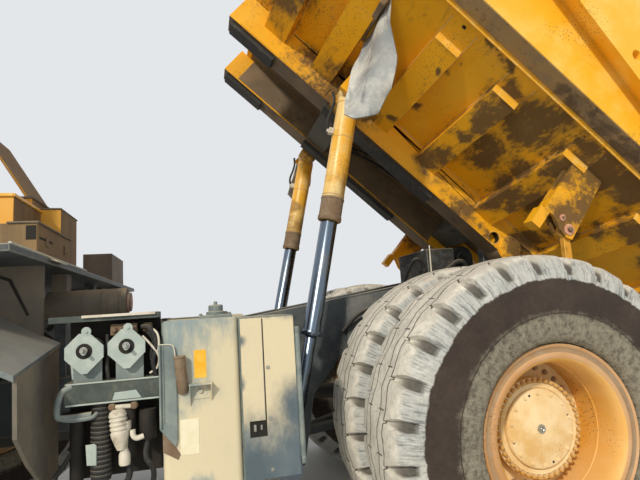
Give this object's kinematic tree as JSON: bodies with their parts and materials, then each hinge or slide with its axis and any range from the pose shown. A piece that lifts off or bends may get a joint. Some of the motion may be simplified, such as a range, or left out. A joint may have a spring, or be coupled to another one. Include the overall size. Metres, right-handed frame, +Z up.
{
  "type": "rigid mining dump truck",
  "caption": "Rigid rear-dump mining haul truck with raised body, telescopic hoists, twin rear wheels and side-mounted cab.",
  "frame": {"origin": "middle of the bounding box at ground level, with the body raised", "axes": "+X forward, +Y to the driver's left, +Z up"},
  "size_m": [9.2954, 5.4, 8.9309],
  "materials": {
    "frame_paint": "dusty dark grey chassis paint",
    "cast_block": "grey painted casting",
    "body_paint": "weathered warm yellow enamel",
    "cab_trim": "moulded dark trim",
    "window_glass": "clear safety glass",
    "tank_paint": "dusty grey-green enamel",
    "lamp_lens": "clear lamp lens",
    "red_lens": "red lamp lens",
    "rubber_pad": "moulded black rubber",
    "hoist_chrome": "polished hard chrome",
    "tyre_rubber": "dusty worn tread rubber"
  },
  "bodies": {
    "chassis": {"frame_rails": "frame_paint", "front_bumper": "frame_paint", "engine": "cast_block", "radiator_guard": "frame_paint", "transmission": "cast_block", "rear_axle": "frame_paint", "rear_suspension": "frame_paint", "front_struts": "frame_paint", "deck": "frame_paint", "mudguards": "frame_paint", "hood": "body_paint", "cab_shell": "body_paint", "cab_interior": "cab_trim", "cab_glass": "window_glass", "handrails": "body_paint", "ladders": "body_paint", "air_cleaners": "body_paint", "deck_boxes": "body_paint", "hydraulic_tank": "tank_paint", "service_box": "tank_paint", "filter_bank": "tank_paint", "fuel_tank": "tank_paint", "headlamps": "lamp_lens", "tail_lamps": "red_lens", "mirrors": "cab_trim"},
    "bed": {"bed_floor": "body_paint", "bed_sides": "body_paint", "bed_front_wall": "body_paint", "bed_canopy": "body_paint", "bed_sills": "body_paint", "bed_ribs": "body_paint", "sill_pads": "rubber_pad", "mud_flaps": "rubber_pad"},
    "hoist_barrel_left": {"hoist_barrel_left": "body_paint"},
    "hoist_tube_left": {"hoist_tube_left": "hoist_chrome"},
    "hoist_rod_left": {"hoist_rod_left": "hoist_chrome"},
    "rock_ejector_left": {"rock_ejector_left": "body_paint"},
    "knuckle_left": {"knuckle_left": "frame_paint"},
    "front_wheel_left": {"front_tyre_left": "tyre_rubber", "front_rim_left": "body_paint"},
    "rear_wheel_left": {"rear_tyres_left": "tyre_rubber", "rear_rims_left": "body_paint"},
    "hoist_barrel_right": {"hoist_barrel_right": "body_paint"},
    "hoist_tube_right": {"hoist_tube_right": "hoist_chrome"},
    "hoist_rod_right": {"hoist_rod_right": "hoist_chrome"},
    "rock_ejector_right": {"rock_ejector_right": "body_paint"},
    "knuckle_right": {"knuckle_right": "frame_paint"},
    "front_wheel_right": {"front_tyre_right": "tyre_rubber", "front_rim_right": "body_paint"},
    "rear_wheel_right": {"rear_tyres_right": "tyre_rubber", "rear_rims_right": "body_paint"},
    "tie_rod": {"tie_rod": "frame_paint"},
    "cab_door": {"cab_door": "body_paint", "cab_door_glass": "window_glass"},
    "service_door": {"service_door": "tank_paint"}
  },
  "joints": [
    {"name": "bed_tilt", "type": "hinge", "parent": "chassis", "child": "bed", "pos_m": [-2.45225, 0, 2.38], "axis": [0, -1, 0], "range_deg": [-50, 0]},
    {"name": "hoist_swing_left", "type": "hinge", "parent": "bed", "child": "hoist_barrel_left", "pos_m": [-0.83188, 0.9, 3.75018], "axis": [0, -1, 0], "range_deg": [0, 47.1]},
    {"name": "hoist_tube_slide_left", "type": "slide", "parent": "hoist_barrel_left", "child": "hoist_tube_left", "axis": [0.2264, 0, -0.974], "range_m": [-0.8955, 0]},
    {"name": "hoist_rod_slide_left", "type": "slide", "parent": "hoist_tube_left", "child": "hoist_rod_left", "axis": [0.2264, 0, -0.974], "range_m": [-0.8955, 0]},
    {"name": "ejector_swing_left", "type": "hinge", "parent": "bed", "child": "rock_ejector_left", "pos_m": [-2.28754, 1.54, 2.38836], "axis": [0, -1, 0], "range_deg": [-10, 60]},
    {"name": "steer_left", "type": "hinge", "parent": "chassis", "child": "knuckle_left", "pos_m": [2.74775, 1.15, 1.085], "axis": [0, 0, 1], "range_deg": [-39, 39]},
    {"name": "front_spin_left", "type": "hinge", "parent": "knuckle_left", "child": "front_wheel_left", "pos_m": [2.74775, 1.7575, 1.085], "axis": [0, 1, 0], "continuous": true},
    {"name": "rear_spin_left", "type": "hinge", "parent": "chassis", "child": "rear_wheel_left", "pos_m": [-1.55225, 1.54, 1.085], "axis": [0, 1, 0], "continuous": true},
    {"name": "hoist_swing_right", "type": "hinge", "parent": "bed", "child": "hoist_barrel_right", "pos_m": [-0.83188, -0.9, 3.75018], "axis": [0, -1, 0], "range_deg": [0, 47.1]},
    {"name": "hoist_tube_slide_right", "type": "slide", "parent": "hoist_barrel_right", "child": "hoist_tube_right", "axis": [0.2264, 0, -0.974], "range_m": [-0.8955, 0]},
    {"name": "hoist_rod_slide_right", "type": "slide", "parent": "hoist_tube_right", "child": "hoist_rod_right", "axis": [0.2264, 0, -0.974], "range_m": [-0.8955, 0]},
    {"name": "ejector_swing_right", "type": "hinge", "parent": "bed", "child": "rock_ejector_right", "pos_m": [-2.28754, -1.54, 2.38836], "axis": [0, -1, 0], "range_deg": [-10, 60]},
    {"name": "steer_right", "type": "hinge", "parent": "chassis", "child": "knuckle_right", "pos_m": [2.74775, -1.15, 1.085], "axis": [0, 0, 1], "range_deg": [-39, 39]},
    {"name": "front_spin_right", "type": "hinge", "parent": "knuckle_right", "child": "front_wheel_right", "pos_m": [2.74775, -1.7575, 1.085], "axis": [0, 1, 0], "continuous": true},
    {"name": "rear_spin_right", "type": "hinge", "parent": "chassis", "child": "rear_wheel_right", "pos_m": [-1.55225, -1.54, 1.085], "axis": [0, 1, 0], "continuous": true},
    {"name": "tie_rod_pivot", "type": "hinge", "parent": "knuckle_left", "child": "tie_rod", "pos_m": [2.39775, 1.15, 0.815], "axis": [0, 0, 1], "range_deg": [-39, 39]},
    {"name": "cab_door_hinge", "type": "hinge", "parent": "chassis", "child": "cab_door", "pos_m": [2.26575, 1.967, 3], "axis": [0, 0, 1], "range_deg": [0, 80]},
    {"name": "service_door_hinge", "type": "hinge", "parent": "chassis", "child": "service_door", "pos_m": [-0.05825, 1.872, 1.4], "axis": [0, 0, 1], "range_deg": [0, 110]}
  ],
  "couplings": [
    {"joint": "hoist_swing_left", "follows": "bed_tilt", "ratio": -0.94111},
    {"joint": "hoist_tube_slide_left", "follows": "bed_tilt", "m_per_rad": 1.0256},
    {"joint": "hoist_rod_slide_left", "follows": "bed_tilt", "m_per_rad": 1.0256},
    {"joint": "hoist_swing_right", "follows": "bed_tilt", "ratio": -0.94111},
    {"joint": "hoist_tube_slide_right", "follows": "bed_tilt", "m_per_rad": 1.0256},
    {"joint": "hoist_rod_slide_right", "follows": "bed_tilt", "m_per_rad": 1.0256},
    {"joint": "steer_right", "follows": "steer_left", "ratio": 1},
    {"joint": "tie_rod_pivot", "follows": "steer_left", "ratio": -1}
  ]
}
